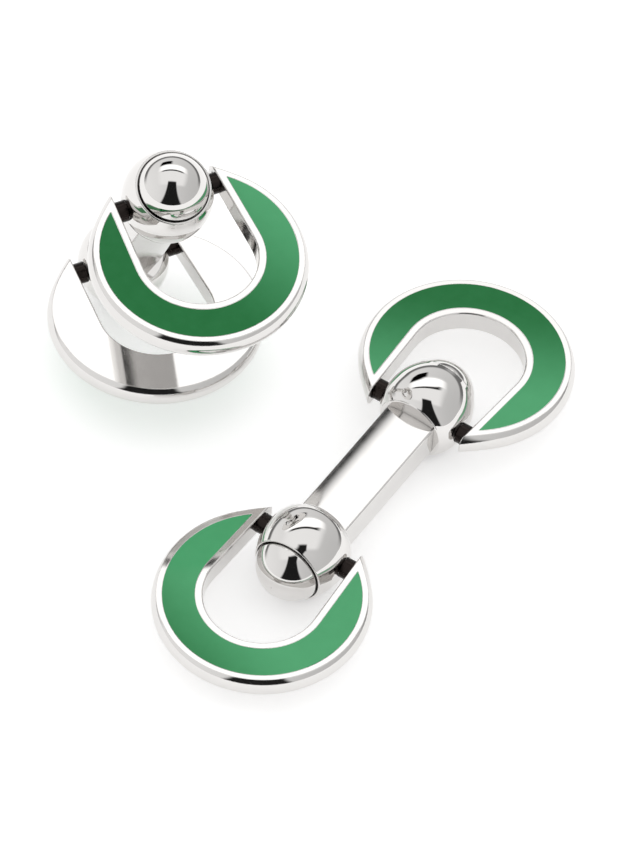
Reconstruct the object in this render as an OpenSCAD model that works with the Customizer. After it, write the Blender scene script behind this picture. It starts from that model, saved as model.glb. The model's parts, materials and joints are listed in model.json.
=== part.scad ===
// Pair of cufflinks with hinged horseshoe rings: one opened flat, one closed as it is worn.
// Millimetres, +Z up. X runs from one ring of the opened cufflink to the other.
// Each cufflink is a straight post with a round knuckle on both ends. A ring swings on a
// cross pin through each knuckle, from in line with the post round to past square.

/* [Ring] */
// width of the ring's band, from the mouth's round end to the bulged rim
band_w = 3.95; // [3.4:0.05:4.6]
// thickness of the ring
ring_t = 1.85; // [1.4:0.05:2.4]
// how far the rim's two edges lie inside its widest line
rim_in = 0.4; // [0.2:0.05:0.6]
// bevel on both edges of the mouth
mouth_bevel = 0.08; // [0.02:0.01:0.15]
// least wall of the rim over the ends of the hinge pin
pin_wall = 0.1; // [0.05:0.01:0.2]
// how far the two arms run past the hinge pin
arm_past = 0.85; // [0.5:0.05:1]

/* [Enamel] */
// width of metal between the enamel and the ring's widest line
border_out = 0.85; // [0.6:0.05:1.2]
// width of metal between the enamel and the mouth
border_in = 0.6; // [0.4:0.05:0.9]
// depth of the tray that the enamel fills
enamel_t = 0.6; // [0.3:0.05:0.9]

/* [Knuckle] */
// radius of the ball
ball_r = 3.63; // [3.2:0.01:3.9]
// how far the ball's centre lies outside the hinge pin
ball_out = 0.45; // [0.2:0.05:0.7]
// distance from the ball's centre to the flat that meets the post
flat_in = 1.7; // [1.5:0.05:2.2]
// distance from the ball's centre to the flat that carries the dome
flat_out = 2.2; // [1.9:0.05:2.5]

/* [Dome] */
// radius of the dome's round top
cap_r = 2.84; // [2.5:0.01:3]
// how far the centre of that round lies below the dome's seat
cap_sink = 0.55; // [0.3:0.05:0.8]
// radius of the dome's straight foot
dome_r = 2.7; // [2.3:0.05:2.8]
// depth of the groove turned round the foot
groove_in = 0.14; // [0.05:0.01:0.3]
// height of that groove
groove_h = 0.12; // [0.05:0.01:0.25]
// radius of the spigot that holds the dome in the ball
spigot_r = 1.1; // [0.7:0.05:1.6]
// length of the spigot
spigot_l = 0.9; // [0.5:0.05:1.2]

/* [Post] */
// distance between the two hinge pins
pin_span = 16.4; // [14:0.1:20]
// width of the post, along the pins
post_w = 4.25; // [3:0.05:5]
// thickness of the post
post_t = 3.1; // [2:0.05:3.8]
// bevel along the post's four edges
post_bevel = 0.22; // [0.05:0.01:0.4]

/* [Hinge] */
// radius of the hinge pin
pin_r = 0.5; // [0.35:0.01:0.6]
// how deep the pin is let into each arm
pin_seat = 0.45; // [0.3:0.05:0.55]
// clearance between the pin and its bush
run_gap = 0.02; // [0.01:0.01:0.08]
// wall of the split friction bush
bush_wall = 0.25; // [0.15:0.01:0.35]
// width of the bush's split
bush_split = 0.3; // [0.15:0.05:0.5]
// how far the bush ends below the ball's cheeks
bush_in = 0.1; // [0.05:0.05:0.4]
// length of a spacer, which sets the mouth's width round the ball
spacer_l = 1.127; // [0.9:0.001:1.4]
// radius of the spacers between ball and arms
spacer_r = 0.84; // [0.7:0.01:0.9]
// clearance between a spacer and the ball
side_gap = 0.03; // [0.02:0.01:0.1]
// how much wider than the spacer each cheek is faced
cheek_rim = 0.1; // [0.05:0.05:0.3]

/* [Pose] */
// fold of the opened cufflink's rings, in degrees
open_fold = 2.6; // [0:0.1:118]
// fold of the closed cufflink's lower ring, in degrees
lower_fold = 115; // [0:1:118]
// fold of the closed cufflink's upper ring, in degrees
upper_fold = 71; // [0:1:118]
// lean of the closed cufflink's post from upright, in degrees
lean = 25; // [0:1:60]
// turn of the closed cufflink about the vertical, in degrees
closed_turn = -122.7; // [-180:0.1:180]
// sideways place of the closed cufflink's lower pin
closed_x = 6.85; // [0:0.05:12]
// distance of the closed cufflink's lower pin behind the opened one
closed_y = 27.05; // [22:0.05:36]

/* [Hidden] */
$fn = 96;
half_t = ring_t / 2;
rim_arc = (half_t * half_t + rim_in * rim_in) / (2 * rim_in);
cut = ring_t;
cheek = sqrt(ball_r * ball_r - pow(ball_out + spacer_r, 2));
mouth_r = cheek + side_gap + spacer_l;
ring_r = mouth_r + band_w;
pin_reach = sqrt(pow(ring_r - pin_wall, 2) - pow(mouth_r + pin_seat, 2)) - pin_r;
tip_x = pin_reach + arm_past;
tray_r = ring_r - border_out;
tray_in = mouth_r + border_in;
bore_r = pin_r + run_gap + bush_wall;
pin_l = 2 * (mouth_r + pin_seat);
post_l = pin_span + 2 * (ball_out - flat_in);
closed_z = (ball_out + flat_out - cap_sink) * cos(lean) + cap_r;
closed_ball_y = closed_y - ball_out * sin(lean) * sin(closed_turn);
pair_y = (ring_r - ball_r - closed_ball_y) / 2;
silver = [0.83, 0.83, 0.84];
pin_steel = [0.72, 0.72, 0.74];
green = [0.07, 0.46, 0.25];

// Half section of the solid disc: flat faces and a rim bulged to an arc.
module disc_section() {
    translate([0, -half_t])
        square([ring_r - rim_in, ring_t]);
    intersection() {
        translate([ring_r - rim_arc, 0])
            circle(r = rim_arc);
        translate([ring_r - rim_in, -half_t])
            square([rim_in, ring_t]);
    }
}

// Half section of the mouth, flaring at both faces to leave the bevels.
module mouth_section() {
    polygon([
        [0, -half_t - cut],
        [mouth_r + mouth_bevel + cut, -half_t - cut],
        [mouth_r, mouth_bevel - half_t],
        [mouth_r, half_t - mouth_bevel],
        [mouth_r + mouth_bevel + cut, half_t + cut],
        [0, half_t + cut]
    ]);
}

// The mouth: a round end on the ring's own centre, then straight out through +X.
module mouth() {
    rotate_extrude()
        mouth_section();
    rotate([90, 0, 90])
        linear_extrude(height = ring_r + cut)
            union() {
                mouth_section();
                mirror([1, 0])
                    mouth_section();
            }
}

// Plan of the enamel: the ring's own curve outside, the mouth's curve inside.
module enamel_plan() {
    difference() {
        circle(r = tray_r);
        circle(r = tray_in);
        translate([0, -tray_in])
            square([ring_r, 2 * tray_in]);
    }
}

// Enamel, flush with the ring's front face.
module enamel() {
    translate([0, 0, half_t - enamel_t])
        linear_extrude(height = enamel_t)
            enamel_plan();
}

// Ring centred on the origin, mouth toward +X, enamel side up.
module frame() {
    difference() {
        rotate_extrude()
            disc_section();
        mouth();
        translate([tip_x, -ring_r, -ring_t])
            cube([ring_r, 2 * ring_r, 2 * ring_t]);
        translate([0, 0, half_t - enamel_t])
            linear_extrude(height = enamel_t + cut)
                enamel_plan();
        pin();
    }
}

// Hinge pin, its ends let into blind holes in the two arms.
module pin() {
    translate([pin_reach, 0, 0])
        rotate([90, 0, 0])
            cylinder(r = pin_r, h = pin_l, center = true);
}

// Two spacers that keep the ball in the middle of the mouth.
module spacers() {
    for (side = [-1, 1])
        translate([pin_reach, side * (mouth_r - spacer_l / 2), 0])
            rotate([90, 0, 0])
                difference() {
                    cylinder(r = spacer_r, h = spacer_l, center = true);
                    cylinder(r = pin_r, h = mouth_r, center = true);
                }
}

// Ball centred on the origin: post side -X, dome side +X.
module ball() {
    difference() {
        intersection() {
            sphere(r = ball_r);
            translate([-flat_in, -ball_r, -ball_r])
                cube([flat_in + flat_out, 2 * ball_r, 2 * ball_r]);
        }
        translate([-ball_out, 0, 0])
            rotate([90, 0, 0])
                cylinder(r = bore_r, h = 2 * ball_r, center = true);
        for (side = [-1, 1])
            translate([-ball_out, side * (cheek + ball_r) / 2, 0])
                rotate([90, 0, 0])
                    cylinder(r = spacer_r + cheek_rim, h = ball_r - cheek, center = true);
        translate([flat_out - spigot_l, 0, 0])
            rotate([0, 90, 0])
                cylinder(r = spigot_r, h = 2 * spigot_l);
    }
}

// Half section of the dome above its seat, with the groove at its foot and the spigot below.
module dome_section() {
    difference() {
        intersection() {
            translate([0, -cap_sink])
                circle(r = cap_r);
            square([dome_r, cap_r]);
        }
        translate([dome_r - groove_in, 0])
            square([groove_in, groove_h]);
    }
    translate([0, -spigot_l])
        square([spigot_r, spigot_l]);
}

// Turned dome on the ball's outer flat.
module dome() {
    translate([flat_out, 0, 0])
        rotate([0, 90, 0])
            rotate_extrude()
                dome_section();
}

// Split bush that grips the pin inside the ball.
module bush() {
    translate([-ball_out, 0, 0])
        rotate([90, 0, 0])
            difference() {
                cylinder(r = bore_r, h = 2 * (cheek - bush_in), center = true);
                cylinder(r = pin_r + run_gap, h = 2 * ball_r, center = true);
                translate([0, -bush_split / 2, -ball_r])
                    cube([2 * bore_r, bush_split, 2 * ball_r]);
            }
}

// Straight post with bevelled edges, its ends on the two inner flats.
module post() {
    rotate([0, 90, 0])
        linear_extrude(height = post_l, center = true)
            polygon([
                [post_bevel - post_t / 2, -post_w / 2],
                [post_t / 2 - post_bevel, -post_w / 2],
                [post_t / 2, post_bevel - post_w / 2],
                [post_t / 2, post_w / 2 - post_bevel],
                [post_t / 2 - post_bevel, post_w / 2],
                [post_bevel - post_t / 2, post_w / 2],
                [-post_t / 2, post_w / 2 - post_bevel],
                [-post_t / 2, post_bevel - post_w / 2]
            ]);
}

// Puts a knuckle piece on one end of the post.
module on_end(side) {
    translate([side * (pin_span / 2 + ball_out), 0, 0])
        rotate([0, 0, side > 0 ? 0 : 180])
            children();
}

// Hangs a ring piece on the pin of one end, folded down by an angle.
module on_pin(side, fold) {
    translate([side * pin_span / 2, 0, 0])
        rotate([0, side * fold, 0])
            translate([side * pin_reach, 0, 0])
                rotate([0, 0, side > 0 ? 180 : 0])
                    children();
}

// Lays a cufflink flat on its two balls.
module opened() {
    translate([0, pair_y, ball_r])
        children();
}

// Stands a cufflink on the dome of its lower end.
module closed() {
    translate([closed_x, pair_y + closed_y, closed_z])
        rotate([0, 0, closed_turn])
            rotate([0, lean - 90, 0])
                translate([pin_span / 2, 0, 0])
                    children();
}

module open_post() color(silver) opened() post();
module open_left_ball() color(silver) opened() on_end(-1) ball();
module open_left_dome() color(silver) opened() on_end(-1) dome();
module open_left_bush() color(pin_steel) opened() on_end(-1) bush();
module open_right_ball() color(silver) opened() on_end(1) ball();
module open_right_dome() color(silver) opened() on_end(1) dome();
module open_right_bush() color(pin_steel) opened() on_end(1) bush();
module open_left_frame() color(silver) opened() on_pin(-1, open_fold) frame();
module open_left_enamel() color(green) opened() on_pin(-1, open_fold) enamel();
module open_left_pin() color(pin_steel) opened() on_pin(-1, open_fold) pin();
module open_left_spacers() color(silver) opened() on_pin(-1, open_fold) spacers();
module open_right_frame() color(silver) opened() on_pin(1, open_fold) frame();
module open_right_enamel() color(green) opened() on_pin(1, open_fold) enamel();
module open_right_pin() color(pin_steel) opened() on_pin(1, open_fold) pin();
module open_right_spacers() color(silver) opened() on_pin(1, open_fold) spacers();

module closed_post() color(silver) closed() post();
module closed_lower_ball() color(silver) closed() on_end(-1) ball();
module closed_lower_dome() color(silver) closed() on_end(-1) dome();
module closed_lower_bush() color(pin_steel) closed() on_end(-1) bush();
module closed_upper_ball() color(silver) closed() on_end(1) ball();
module closed_upper_dome() color(silver) closed() on_end(1) dome();
module closed_upper_bush() color(pin_steel) closed() on_end(1) bush();
module closed_lower_frame() color(silver) closed() on_pin(-1, lower_fold) frame();
module closed_lower_enamel() color(green) closed() on_pin(-1, lower_fold) enamel();
module closed_lower_pin() color(pin_steel) closed() on_pin(-1, lower_fold) pin();
module closed_lower_spacers() color(silver) closed() on_pin(-1, lower_fold) spacers();
module closed_upper_frame() color(silver) closed() on_pin(1, upper_fold) frame();
module closed_upper_enamel() color(green) closed() on_pin(1, upper_fold) enamel();
module closed_upper_pin() color(pin_steel) closed() on_pin(1, upper_fold) pin();
module closed_upper_spacers() color(silver) closed() on_pin(1, upper_fold) spacers();

open_post();
open_left_ball();
open_left_dome();
open_left_bush();
open_right_ball();
open_right_dome();
open_right_bush();
open_left_frame();
open_left_enamel();
open_left_pin();
open_left_spacers();
open_right_frame();
open_right_enamel();
open_right_pin();
open_right_spacers();
closed_post();
closed_lower_ball();
closed_lower_dome();
closed_lower_bush();
closed_upper_ball();
closed_upper_dome();
closed_upper_bush();
closed_lower_frame();
closed_lower_enamel();
closed_lower_pin();
closed_lower_spacers();
closed_upper_frame();
closed_upper_enamel();
closed_upper_pin();
closed_upper_spacers();
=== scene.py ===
"""A pair of hinged-ring cufflinks on a white studio sweep: one opened flat, one closed as worn."""

import json
from math import atan2, cos, hypot, radians, sin, sqrt

import bmesh
import bpy
from mathutils import Matrix, Vector


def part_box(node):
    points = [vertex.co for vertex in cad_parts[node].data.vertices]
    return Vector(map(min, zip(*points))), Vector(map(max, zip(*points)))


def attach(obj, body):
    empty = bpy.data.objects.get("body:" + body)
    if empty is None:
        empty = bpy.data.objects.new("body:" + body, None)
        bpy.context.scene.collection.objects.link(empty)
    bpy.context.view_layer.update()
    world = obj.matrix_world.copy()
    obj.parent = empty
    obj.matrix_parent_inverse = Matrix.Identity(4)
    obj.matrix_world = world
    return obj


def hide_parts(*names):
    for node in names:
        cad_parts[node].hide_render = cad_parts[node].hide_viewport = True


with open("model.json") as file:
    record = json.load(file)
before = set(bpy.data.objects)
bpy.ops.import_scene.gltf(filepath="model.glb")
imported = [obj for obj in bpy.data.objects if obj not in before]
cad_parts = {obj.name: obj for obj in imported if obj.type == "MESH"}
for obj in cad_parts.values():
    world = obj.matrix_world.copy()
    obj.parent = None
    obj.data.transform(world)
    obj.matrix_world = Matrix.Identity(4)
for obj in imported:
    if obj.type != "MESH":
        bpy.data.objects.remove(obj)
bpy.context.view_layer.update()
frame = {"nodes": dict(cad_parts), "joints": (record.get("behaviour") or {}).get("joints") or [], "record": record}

MM = 0.001
WHITE = (1, 1, 1, 1)

# Camera: a long lens, so the view is nearly parallel. First the ways to its right, up and back.
VIEW_RIGHT = Vector((0.549, -0.835, 0.046))
VIEW_UP = Vector((0.629, 0.447, 0.636))
VIEW_BACK = Vector((-0.552, -0.320, 0.770))
CAMERA_DISTANCE = 850 * MM
LENS, SENSOR = 469.7, 36.0
IMAGE_W, IMAGE_H = 632, 843
PX_PER_MM = 12.94
# Where the floor under the middle of the opened post falls in the image.
POST_FOOT_PX = (365.1, 511.6)

# Rings: the distance from a ring's centre to its pin.
PIN_REACH = 6.25 * MM
# The arms close in a little toward the mouth, bent about the ring's centre. Counted from the
# mouth's direction, the bend is whole up to the first of two angles and gone at the second.
ARM_CLOSE = radians(3.0)
BEND_WHOLE, BEND_GONE = radians(90), radians(130)
# The arms' tips are drawn out, from this far toward the mouth to their ends, by this much there.
# The amount was set.
TIP_FROM, TIP_END, TIP_DRAW = 5.6 * MM, 7.3 * MM, 0.35 * MM
# Normals that agree to this many decimals count as facing the same way.
FACING_DIGITS = 2

# Knuckles: barrels turned about the post's own axis. Their middle lies this far out from the pin,
# and places along them are measured outward from it.
BARREL_OUT = 0.45 * MM
# The radius at the middle and at the outer end, and the reach inward and outward.
BARREL_R, BARREL_END_R = 3.56 * MM, 3.1 * MM
BARREL_IN, BARREL_OUTER = 2.4 * MM, 2.0 * MM
# The shoulder toward the post: a fuller curve than a circle's, which would reach the axis here.
SHOULDER_REACH, SHOULDER_FULLNESS = 3.05 * MM, 2.6
# The round edge of the flat, and the lip round the dome. Arcs are in degrees from outward.
BARREL_EDGE, EDGE_ARC = 0.1 * MM, (180, 125)
LIP_IN_R, LIP_R, LIP_TOP, LIP_ARC = 2.76 * MM, 0.12 * MM, 2.34 * MM, (75, -90)
# The dome's seat, and the blind hole in it for the dome's spigot.
DOME_SEAT = 2.2 * MM
SPIGOT_R, SPIGOT_FLOOR = 1.1 * MM, 1.3 * MM
# From the middle to a cheek, and the bore for the bush.
CHEEK, BORE_R = 3.39 * MM, 0.77 * MM
BARREL_STEPS, TURN_STEPS, ROUND_STEPS = 40, 128, 8
BARREL_SHARP = radians(28)

# Posts: a bar with crowned faces and round edges between the barrels' inner flats.
POST_W, POST_T = 4.25 * MM, 3.1 * MM
POST_CROWN, POST_EDGE = 0.22 * MM, 0.16 * MM
POST_INSET = BARREL_IN - BARREL_OUT
CROWN_STEPS, EDGE_STEPS = 24, 6
POST_SHARP = radians(40)

# A Mix node has sockets for numbers and for colours under the same names, told apart by place.
FACTOR, NUMBER_A, NUMBER_B, COLOUR_A, COLOUR_B = 0, 2, 3, 6, 7
NUMBER_OUT, COLOUR_OUT = 0, 2

# Metal: how far wiping swings its haze and darkens its tone, the painted shade in its crevices,
# and the shares of open air round a point at which that painted shade is full black and gone.
HAZE_LOW, HAZE_HIGH, WIPED_TONE = 0.5, 1.6, 0.965
CREVICE_SHADE, BLACK_AT, UNSHADED_AT = "#0E0B0A", 0.22, 0.62

# Enamel: its greens for painted shade and painted light across each inlay, the grain and share of
# its cloudiness, and the ripple that the flame leaves. Its sheen is set below glass's own, 0.5, so
# that the bright tent doesn't wash out the green.
SHADED_GREEN, LIT_GREEN = "#00662B", "#4FA570"
CLOUD_SIZE, CLOUD_SHARE = 1.1 * MM, 0.13
RIPPLE_STRENGTH, RIPPLE_DEPTH = 0.05, 0.02 * MM
ENAMEL_ROUGHNESS, ENAMEL_IOR, ENAMEL_SHEEN = 0.12, 1.52, 0.16
# Each inlay's painted light and shade: the way toward its lighter side, and where the lightening
# starts and stops, in mm from the inlay's middle.
PAINTED_LIGHT_FALL = {
    "open_left": ((0.95, -0.3, 0.0), (-10.0, -1.0)),
    "open_right": ((-0.9, -0.44, 0.0), (-5.5, 5.5)),
    "closed_lower": ((0.5, 0.87, 0.0), (-8.0, 6.0)),
    "closed_upper": ((1.0, -0.04, 0.0), (-3.5, 8.5)),
}

# Floor and backdrop, one plane far wider than the view. The lift comes on top of the paper's own
# lit white, 1.23 together, so that only the deep part of a shadow falls below full white.
FLOOR_HALF = 3.0
PAPER_WHITE, PAPER_LIFT = "#F7F7F7", 0.3

# The light tent: the level ways across it and toward its front, and its walls, dimmer to the right.
TENT_ACROSS = (0.5016, -0.8651, 0)
TENT_FRONT = (-0.8651, -0.5016, 0)
TENT_WHITE = "#FDFDFD"
WALL_LEFT, WALL_RIGHT = 1.05, 0.68
# What hangs overhead, each laid over the last: its reach across and to the front, each as two
# limits and the softness of its edges, and its brightness. Places are taken on a plane overhead,
# with no way that is looked along taken as lower than OVERHEAD_FROM, so that they stay finite.
HANGINGS = (
    ((-0.85, 0.85, 0.3), (-1.1, 0.46, 0.12), 1.1),  # white roof
    ((-0.75, 0.75, 0.3), (-1.01, -0.52, 0.03), 1.6),  # soft box
    ((-0.6, 0.6, 0.15), (-0.5, -0.4, 0.02), 0.03),  # near frame of the box
    ((-0.9, -0.1, 0.1), (-1.9, -1.12, 0.08), 0.0),  # black flag
)
OVERHEAD_FROM = 0.05
# The dim strip along the back: its heights, its reach to the front, and its brightness.
STRIP_HEIGHTS, STRIP_FRONT, STRIP_LEVEL = (-0.04, 0.16, 0.05), (-2.0, -0.3, 0.25), 0.2
# The dark slot that one works through, which narrows upward: its half width when level and
# overhead, its sides in half widths, its reach to the front, and its brightness.
SLOT_HALF_LEVEL, SLOT_HALF_TOP = 0.5, 0.2
SLOT_SIDES, SLOT_FRONT, SLOT_LEVEL = (-1.0, 1.0, 0.12), (0.24, 2.0, 0.05), 0.015


def linear(hex_colour):
    """An sRGB hex colour as linear RGBA."""
    parts = [int(hex_colour[i:i + 2], 16) / 255 for i in (1, 3, 5)]
    return [p / 12.92 if p <= 0.04045 else ((p + 0.055) / 1.055) ** 2.4 for p in parts] + [1.0]


def add(tree, kind, settings=None, inputs=None, links=None):
    """Adds a node with its properties, its inputs' values and the links that feed it."""
    made = tree.nodes.new(kind)
    for key, value in (settings or {}).items():
        setattr(made, key, value)
    for key, value in (inputs or {}).items():
        made.inputs[key].default_value = value
    for key, source in (links or {}).items():
        tree.links.new(source, made.inputs[key])
    return made


def new_material(name):
    """A material without nodes, and its node tree."""
    mat = bpy.data.materials.new(name)
    mat.use_nodes = True
    mat.node_tree.nodes.clear()
    return mat, mat.node_tree


def buffed_metal(name, colour, roughness, wipe_mm, edge_mm, crevice_mm=0.0):
    """A metal with softened edges, on which wiping leaves the faintest change of haze and tone.

    The wipes are drawn coarser than a cloth leaves them, because those would be too fine to show.
    In a gap of about crevice_mm, shade is painted into the colour, near black where little open
    air is round a point, so the eye gets a black line.
    """
    mat, tree = new_material(name)
    place = add(tree, "ShaderNodeTexCoord").outputs["Object"]
    wipes = add(tree, "ShaderNodeTexNoise", inputs={"Scale": 1 / (wipe_mm * MM), "Detail": 4.0},
                links={"Vector": place}).outputs["Fac"]
    haze = add(tree, "ShaderNodeMapRange",
               inputs={"To Min": roughness * HAZE_LOW, "To Max": roughness * HAZE_HIGH},
               links={"Value": wipes}).outputs["Result"]
    wiped, clean = (tuple(c * share for c in linear(colour)[:3]) + (1.0,)
                    for share in (WIPED_TONE, 1.0))
    tone = add(tree, "ShaderNodeMix", {"data_type": "RGBA"}, {COLOUR_A: wiped, COLOUR_B: clean},
               {FACTOR: wipes}).outputs[COLOUR_OUT]
    if crevice_mm:
        # Painted shade: where ambient occlusion finds little open air, the colour goes to near black.
        air = add(tree, "ShaderNodeAmbientOcclusion", {"samples": 8},
                  {"Distance": crevice_mm * MM}).outputs["AO"]
        unshaded = add(tree, "ShaderNodeMapRange", {"interpolation_type": "SMOOTHSTEP"},
                     {"From Min": BLACK_AT, "From Max": UNSHADED_AT}, {"Value": air}).outputs["Result"]
        tone = add(tree, "ShaderNodeMix", {"data_type": "RGBA"}, {COLOUR_A: linear(CREVICE_SHADE)},
                   {FACTOR: unshaded, COLOUR_B: tone}).outputs[COLOUR_OUT]
    edge = add(tree, "ShaderNodeBevel", {"samples": 6}, {"Radius": edge_mm * MM}).outputs["Normal"]
    shader = add(tree, "ShaderNodeBsdfPrincipled", inputs={"Metallic": 1.0},
                 links={"Base Color": tone, "Roughness": haze, "Normal": edge})
    add(tree, "ShaderNodeOutputMaterial", links={"Surface": shader.outputs["BSDF"]})
    return mat


def inlay_enamel(end):
    """Vitreous enamel for one inlay, ground flush with its ring and flame-polished.

    The eye gets deep green glass, with painted shade at one side of the inlay and painted light
    toward the other, a quiet sheen and the faint clouds that grinding leaves, drawn as coarse as
    they need to show. The painted light and shade are placed from the inlay's middle.
    """
    toward_lit, reach = PAINTED_LIGHT_FALL[end]
    low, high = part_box(f"{end}_enamel")
    middle = (Vector(low) + Vector(high)).dot(Vector(toward_lit)) / 2
    starts, stops = (middle + mm * MM for mm in reach)
    mat, tree = new_material(f"{end}_green_enamel")
    place = add(tree, "ShaderNodeTexCoord").outputs["Object"]
    run = add(tree, "ShaderNodeVectorMath", {"operation": "DOT_PRODUCT"}, {1: toward_lit},
              {0: place}).outputs["Value"]
    # Painted light and shade: dark green at one side of the inlay, lighter toward the other.
    lit_share = add(tree, "ShaderNodeMapRange", {"interpolation_type": "SMOOTHSTEP"},
               {"From Min": starts, "From Max": stops}, {"Value": run}).outputs["Result"]
    clouds = add(tree, "ShaderNodeTexNoise", inputs={"Scale": 1 / CLOUD_SIZE, "Detail": 5.0},
                 links={"Vector": place}).outputs["Fac"]
    clear = add(tree, "ShaderNodeMix", {"data_type": "FLOAT"}, {FACTOR: CLOUD_SHARE},
                {NUMBER_A: lit_share, NUMBER_B: clouds}).outputs[NUMBER_OUT]
    green = add(tree, "ShaderNodeMix", {"data_type": "RGBA"},
                {COLOUR_A: linear(SHADED_GREEN), COLOUR_B: linear(LIT_GREEN)},
                {FACTOR: clear}).outputs[COLOUR_OUT]
    ripple = add(tree, "ShaderNodeBump",
                 inputs={"Strength": RIPPLE_STRENGTH, "Distance": RIPPLE_DEPTH},
                 links={"Height": clouds}).outputs["Normal"]
    shader = add(tree, "ShaderNodeBsdfPrincipled",
                 inputs={"Roughness": ENAMEL_ROUGHNESS, "IOR": ENAMEL_IOR,
                         "Specular IOR Level": ENAMEL_SHEEN},
                 links={"Base Color": green, "Normal": ripple})
    add(tree, "ShaderNodeOutputMaterial", links={"Surface": shader.outputs["BSDF"]})
    return mat


def sweep_paper():
    """Matt white sweep paper, lifted to full white for the lens and in metal and glass."""
    mat, tree = new_material("white_sweep_paper")
    path = add(tree, "ShaderNodeLightPath")
    seen = path.outputs["Is Camera Ray"]
    for ray in ("Is Glossy Ray", "Is Transmission Ray"):
        seen = add(tree, "ShaderNodeMath", {"operation": "MAXIMUM"},
                   links={0: seen, 1: path.outputs[ray]}).outputs["Value"]
    matt = add(tree, "ShaderNodeBsdfDiffuse", inputs={"Color": linear(PAPER_WHITE)}).outputs["BSDF"]
    lift = add(tree, "ShaderNodeEmission", inputs={"Color": WHITE, "Strength": PAPER_LIFT})
    lifted = add(tree, "ShaderNodeAddShader", links={0: matt, 1: lift.outputs["Emission"]})
    mix = add(tree, "ShaderNodeMixShader", links={0: seen, 1: matt, 2: lifted.outputs["Shader"]})
    add(tree, "ShaderNodeOutputMaterial", links={"Surface": mix.outputs["Shader"]})
    return mat


# The silvers are written darker than polished silver is, at about 0.72 linear, because the tent's
# box is brighter than white: the two together give the photo's contrast.
# Mirror polish on the turned knuckles and domes: black and white shapes with clean edges.
SILVER = buffed_metal("mirror_polished_silver", "#DEDCDA", 0.03,
                      wipe_mm=1.6, edge_mm=0.06, crevice_mm=0.9)
# Hand polish on the rings: the same mirror, a little softer, and rounder at its edges.
SOFT_SILVER = buffed_metal("hand_polished_silver", "#DBD9D7", 0.06,
                           wipe_mm=1.1, edge_mm=0.12, crevice_mm=0.9)
# Drawn bar on the posts: reflections run out into soft bands.
DRAWN_SILVER = buffed_metal("hand_drawn_bar_silver", "#DBD9D7", 0.1,
                            wipe_mm=1.4, edge_mm=0.1, crevice_mm=0.9)
# Wire and collars in painted shade: a near-black gap between ring and knuckle, with a dull gleam.
# The record has them as bright silver, and they are darkened here for the photo's dark gaps.
SHADE_DARK_WIRE = buffed_metal("shade_darkened_silver_wire", "#2B2624", 0.24, wipe_mm=0.5, edge_mm=0.03)
# Plain bronze in the bore: a warm, satin rim.
BRONZE = buffed_metal("split_bush_bronze", "#C29A5C", 0.28, wipe_mm=0.4, edge_mm=0.02)

FINISH = {
    "post": DRAWN_SILVER, "ball": SILVER, "dome": SILVER, "frame": SOFT_SILVER, "spacers": SHADE_DARK_WIRE,
    "pin": SHADE_DARK_WIRE, "bush": BRONZE,
}
for name, obj in frame["nodes"].items():
    end, kind = name.rsplit("_", 1)
    obj.data.materials.clear()
    obj.data.materials.append(inlay_enamel(end) if kind == "enamel" else FINISH[kind])

BODY_OF = {node: body for body, nodes in frame["record"]["behaviour"]["bodies"].items()
           for node in nodes}
HINGES = {joint["child"]: joint for joint in frame["joints"] if joint["type"] == "hinge"}


def stand_in(mesh, name, node, finish):
    """Puts a mesh in the scene in place of a CAD node, on that node's own body."""
    piece = bpy.data.objects.new(name, mesh)
    bpy.context.scene.collection.objects.link(piece)
    mesh.materials.clear()
    mesh.materials.append(finish)
    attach(piece, BODY_OF[node])
    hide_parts(node)


def main_facing(mesh):
    """The direction that the largest area of a mesh faces."""
    shares = {}
    for face in mesh.polygons:
        key = tuple(round(c, FACING_DIGITS) for c in face.normal)
        shares[key] = shares.get(key, Vector()) + face.normal * face.area
    return max(shares.values(), key=lambda v: v.length).normalized()


def close_arms(end, hinge):
    """Bends the two arms of one end's ring, and of its enamel, inward about the ring's centre."""
    enamel = frame["nodes"][f"{end}_enamel"].data
    across = Vector(hinge["axis"]).normalized()
    toward_mouth = across.cross(main_facing(enamel)).normalized()
    pin = Vector(hinge["pos_m"])
    middle = sum((v.co for v in enamel.vertices), Vector()) / len(enamel.vertices)
    if (middle - pin).dot(toward_mouth) > 0:
        toward_mouth.negate()
    centre = pin - toward_mouth * PIN_REACH
    out = across.cross(toward_mouth)

    for part, slot in (("frame", "ring"), ("enamel", "enamel")):
        node = f"{end}_{part}"
        mesh = frame["nodes"][node].data.copy()
        for vertex in mesh.vertices:
            arm = vertex.co - centre
            along, side = arm.dot(toward_mouth), arm.dot(across)
            radius, turn = hypot(along, side), atan2(abs(side), along)
            share = min(1.0, max(0.0, (BEND_GONE - turn) / (BEND_GONE - BEND_WHOLE)))
            turn -= ARM_CLOSE * share
            along = radius * cos(turn)
            along += TIP_DRAW * max(0.0, (along - TIP_FROM) / (TIP_END - TIP_FROM)) ** 2
            vertex.co = centre + toward_mouth * along \
                + across * (radius * sin(turn) * (1 if side > 0 else -1)) + out * arm.dot(out)
        finish = frame["nodes"][node].data.materials[0]
        stand_in(mesh, f"{end}_closed_in_{part}", node, finish)


def arc(centre, radius, span, steps):
    """Points on an arc over a span of degrees, each as two places in the plane that it lies in."""
    start, stop = span
    turns = (radians(start + (stop - start) * i / steps) for i in range(steps + 1))
    return [(centre[0] + radius * cos(a), centre[1] + radius * sin(a)) for a in turns]


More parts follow.
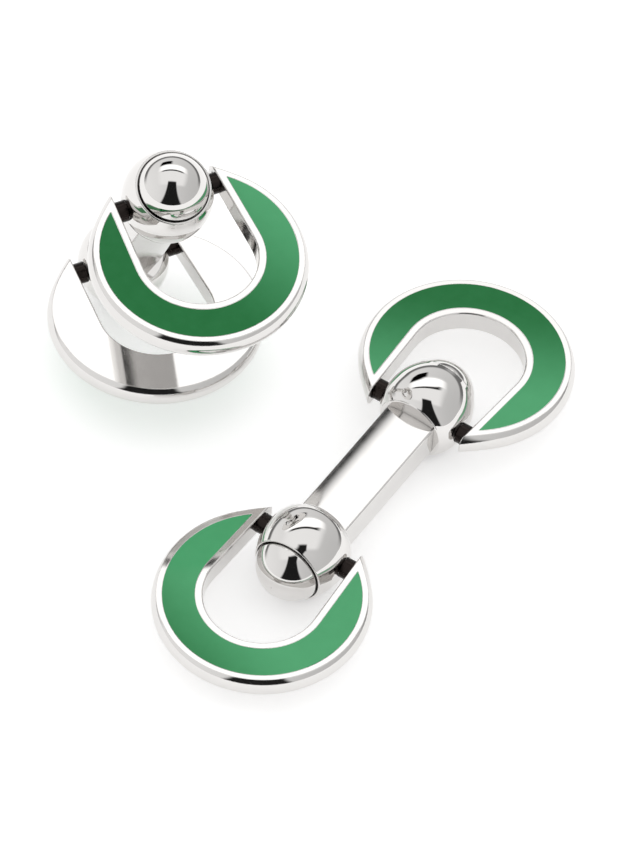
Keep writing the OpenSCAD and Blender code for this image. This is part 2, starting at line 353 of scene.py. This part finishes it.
def crowned_profile():
    """The upper half of a post's section, from one round edge over the crown to the other."""
    half_w, half_t = POST_W / 2, POST_T / 2
    crown_r = (half_w ** 2 + POST_CROWN ** 2) / (2 * POST_CROWN)
    shoulder = half_w - POST_EDGE
    over = [(y, half_t - crown_r + sqrt(crown_r ** 2 - y ** 2))
            for y in (shoulder * (1 - 2 * i / CROWN_STEPS) for i in range(CROWN_STEPS + 1))]
    edge_middle = (shoulder, over[0][1] - POST_EDGE)
    right = arc(edge_middle, POST_EDGE, (0, 90), EDGE_STEPS)[:-1]
    left = [(-y, z) for y, z in reversed(right)]
    return right + over + left


def as_mesh(shape, name):
    """A named mesh of a finished bmesh, which is freed."""
    mesh = bpy.data.meshes.new(name)
    shape.to_mesh(mesh)
    shape.free()
    return mesh


def crowned_post(link, hinges):
    """One post, swept between the two hinges of a cufflink."""
    start, stop = (Vector(hinge["pos_m"]) for hinge in hinges)
    along = (stop - start).normalized()
    across = Vector(hinges[1]["axis"]).normalized()
    up = along.cross(across)
    upper = crowned_profile()
    section = upper + [(-y, -z) for y, z in upper]
    shape = bmesh.new()
    first, last = ([shape.verts.new(at + across * y + up * z) for y, z in section]
                   for at in (start + along * POST_INSET, stop - along * POST_INSET))
    for i in range(len(section)):
        j = (i + 1) % len(section)
        shape.faces.new((first[i], first[j], last[j], last[i])).smooth = True
    for rim in (first, last):
        shape.faces.new(rim)
    bmesh.ops.recalc_face_normals(shape, faces=shape.faces)
    name = f"{link}_crowned_post"
    mesh = as_mesh(shape, name)
    mesh.set_sharp_from_angle(angle=POST_SHARP)
    stand_in(mesh, name, f"{link}_post", FINISH["post"])


def barrel_radius(x):
    """A barrel's radius at a place along it: shouldered toward the post, bulged outward."""
    if x > 0:
        drop = BARREL_R - BARREL_END_R
        bulge_r = (BARREL_OUTER ** 2 + drop ** 2) / (2 * drop)
        return BARREL_R - bulge_r + sqrt(bulge_r ** 2 - x ** 2)
    return BARREL_R * (1 - (-x / SHOULDER_REACH) ** SHOULDER_FULLNESS) ** (1 / SHOULDER_FULLNESS)


def barrel_profile():
    """Half section of a knuckle: flat toward the post, side, lip round the dome, seat and hole."""
    half = BARREL_IN - BARREL_EDGE
    side = [(x, barrel_radius(x)) for x in (-half + (half + BARREL_OUTER) * i / BARREL_STEPS
                                            for i in range(BARREL_STEPS + 1))]
    edge = arc((-half, side[0][1] - BARREL_EDGE), BARREL_EDGE, EDGE_ARC, ROUND_STEPS)
    lip = arc((LIP_TOP - LIP_R, LIP_IN_R + LIP_R), LIP_R, LIP_ARC, ROUND_STEPS)
    seat = [(DOME_SEAT, LIP_IN_R), (DOME_SEAT, SPIGOT_R)]
    hole = [(SPIGOT_FLOOR, SPIGOT_R), (SPIGOT_FLOOR, 0)]
    return [(-BARREL_IN, 0)] + edge + side + lip + seat + hole


def turned_blank(middle, outward, across):
    """A knuckle before its bore: the profile turned, and cut flat at both cheeks."""
    third = outward.cross(across)
    profile = barrel_profile()
    shape = bmesh.new()
    inner, outer = (shape.verts.new(middle + outward * profile[i][0]) for i in (0, -1))
    turns = [radians(360 * k / TURN_STEPS) for k in range(TURN_STEPS)]
    rows = [[shape.verts.new(middle + outward * x + (across * cos(a) + third * sin(a)) * r)
             for a in turns] for x, r in profile[1:-1]]
    for k in range(TURN_STEPS):
        n = (k + 1) % TURN_STEPS
        shape.faces.new((inner, rows[0][n], rows[0][k]))
        shape.faces.new((outer, rows[-1][k], rows[-1][n]))
        for row, after in zip(rows, rows[1:]):
            shape.faces.new((row[k], row[n], after[n], after[k]))
    for side in (-1, 1):
        cut = bmesh.ops.bisect_plane(
            shape, geom=shape.verts[:] + shape.edges[:] + shape.faces[:],
            plane_co=middle + across * side * CHEEK, plane_no=across * side, clear_outer=True)
        rim = [item for item in cut["geom_cut"] if isinstance(item, bmesh.types.BMEdge)]
        bmesh.ops.contextual_create(shape, geom=rim)
    bmesh.ops.recalc_face_normals(shape, faces=shape.faces)
    return as_mesh(shape, "barrel_blank")


def bored(blank, name, pin, across):
    """A named mesh of a blank with the bush's bore cut through it along the pin."""
    bore = bmesh.new()
    turn = across.to_track_quat("Z", "Y").to_matrix().to_4x4()
    bmesh.ops.create_cone(bore, cap_ends=True, segments=TURN_STEPS // 2, radius1=BORE_R,
                          radius2=BORE_R, depth=2 * BARREL_R + 2 * BARREL_OUT,
                          matrix=Matrix.Translation(pin) @ turn)
    work = bpy.data.objects.new("barrel_blank", blank)
    cutter = bpy.data.objects.new("bore_cutter", as_mesh(bore, "bore_cutter"))
    for thing in (work, cutter):
        bpy.context.scene.collection.objects.link(thing)
    drill = work.modifiers.new("bore", "BOOLEAN")
    drill.operation, drill.solver, drill.object = "DIFFERENCE", "EXACT", cutter
    bpy.context.view_layer.update()
    mesh = bpy.data.meshes.new_from_object(
        work.evaluated_get(bpy.context.evaluated_depsgraph_get()))
    mesh.name = name
    for thing in (work, cutter):
        bpy.data.objects.remove(thing)
    return mesh


def turned_barrel(end, hinge, other_hinge):
    """One knuckle, at its own hinge and facing away from the cufflink's other one."""
    pin = Vector(hinge["pos_m"])
    outward = (pin - Vector(other_hinge["pos_m"])).normalized()
    across = Vector(hinge["axis"]).normalized()
    name = f"{end}_turned_barrel"
    mesh = bored(turned_blank(pin + outward * BARREL_OUT, outward, across), name, pin, across)
    for face in mesh.polygons:
        face.use_smooth = True
    mesh.set_sharp_from_angle(angle=BARREL_SHARP)
    stand_in(mesh, name, f"{end}_ball", FINISH["ball"])


for link, sides in (("open", ("left", "right")), ("closed", ("lower", "upper"))):
    ends = [f"{link}_{side}" for side in sides]
    hinges = [HINGES[BODY_OF[f"{end}_frame"]] for end in ends]
    crowned_post(link, hinges)
    for end, hinge, other_hinge in zip(ends, hinges, reversed(hinges)):
        close_arms(end, hinge)
        turned_barrel(end, hinge, other_hinge)


def band(tree, value, limits):
    """One between two limits of a value and zero outside, with soft edges."""
    low, high, soft = limits
    rise, fall = (
        add(tree, "ShaderNodeMapRange", {"interpolation_type": "SMOOTHSTEP"},
            {"From Min": outside, "From Max": inside}, {"Value": value}).outputs["Result"]
        for outside, inside in ((low - soft, low + soft), (high + soft, high - soft)))
    return add(tree, "ShaderNodeMath", {"operation": "MULTIPLY"},
               links={0: rise, 1: fall}).outputs["Value"]


def white_studio():
    """A light tent for the metal and glass to mirror, and plain white light for all else."""
    world = bpy.data.worlds.new("light_tent")
    bpy.context.scene.world = world
    world.use_nodes = True
    tree = world.node_tree
    tree.nodes.clear()
    way = add(tree, "ShaderNodeTexCoord").outputs["Generated"]
    across, front, height = (
        add(tree, "ShaderNodeVectorMath", {"operation": "DOT_PRODUCT"}, {1: axis},
            {0: way}).outputs["Value"] for axis in (TENT_ACROSS, TENT_FRONT, (0, 0, 1)))
    overhead = add(tree, "ShaderNodeMath", {"operation": "MAXIMUM"}, {1: OVERHEAD_FROM},
                   {0: height}).outputs["Value"]
    slot_half = add(tree, "ShaderNodeMapRange",
                    inputs={"To Min": SLOT_HALF_LEVEL, "To Max": SLOT_HALF_TOP},
                    links={"Value": height}).outputs["Result"]
    over_side, over_front, slot_side = (
        add(tree, "ShaderNodeMath", {"operation": "DIVIDE"},
            links={0: value, 1: unit}).outputs["Value"]
        for value, unit in ((across, overhead), (front, overhead), (across, slot_half)))

    panels = [((over_side, reach), (over_front, depth), brightness)
              for reach, depth, brightness in HANGINGS]
    panels += [((height, STRIP_HEIGHTS), (front, STRIP_FRONT), STRIP_LEVEL),
               ((slot_side, SLOT_SIDES), (front, SLOT_FRONT), SLOT_LEVEL)]
    level = add(tree, "ShaderNodeMapRange",
                inputs={"From Min": -1.0, "To Min": WALL_LEFT, "To Max": WALL_RIGHT},
                links={"Value": across}).outputs["Result"]
    for wide, deep, brightness in panels:
        cover = add(tree, "ShaderNodeMath", {"operation": "MULTIPLY"},
                    links={0: band(tree, *wide), 1: band(tree, *deep)}).outputs["Value"]
        level = add(tree, "ShaderNodeMix", {"data_type": "FLOAT"}, {NUMBER_B: brightness},
                    {FACTOR: cover, NUMBER_A: level}).outputs[NUMBER_OUT]

    path = add(tree, "ShaderNodeLightPath")
    plain = add(tree, "ShaderNodeBackground", inputs={"Color": WHITE, "Strength": 1.0})
    tent = add(tree, "ShaderNodeBackground", inputs={"Color": linear(TENT_WHITE)},
               links={"Strength": level})
    mix = add(tree, "ShaderNodeMixShader",
              links={0: path.outputs["Is Glossy Ray"], 1: plain.outputs["Background"],
                     2: tent.outputs["Background"]})
    add(tree, "ShaderNodeOutputWorld", links={"Surface": mix.outputs["Shader"]})


def white_floor():
    """The floor and backdrop: one sheet of sweep paper."""
    half = FLOOR_HALF
    mesh = bpy.data.meshes.new("floor")
    corners = [(-half, -half, 0), (half, -half, 0), (half, half, 0), (-half, half, 0)]
    mesh.from_pydata(corners, [], [(0, 1, 2, 3)])
    floor = bpy.data.objects.new("floor", mesh)
    bpy.context.scene.collection.objects.link(floor)
    mesh.materials.append(sweep_paper())


def long_lens_camera(post_mid_y):
    """The camera on its line of sight, with the opened post's foot at its place in the image."""
    right, up = (px / PX_PER_MM * MM for px in
                 (IMAGE_W / 2 - POST_FOOT_PX[0], POST_FOOT_PX[1] - IMAGE_H / 2))
    aim = Vector((0, post_mid_y, 0)) + VIEW_RIGHT * right + VIEW_UP * up
    lens = bpy.data.cameras.new("long_lens")
    lens.lens, lens.sensor_width = LENS, SENSOR
    camera = bpy.data.objects.new("long_lens", lens)
    turn = Matrix((VIEW_RIGHT, VIEW_UP, VIEW_BACK)).transposed().to_4x4()
    camera.matrix_world = Matrix.Translation(aim + VIEW_BACK * CAMERA_DISTANCE) @ turn
    bpy.context.scene.collection.objects.link(camera)
    bpy.context.scene.camera = camera


white_studio()
white_floor()
low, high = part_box("open_post")
long_lens_camera((low.y + high.y) / 2)

bpy.context.scene.view_settings.view_transform = "Standard"
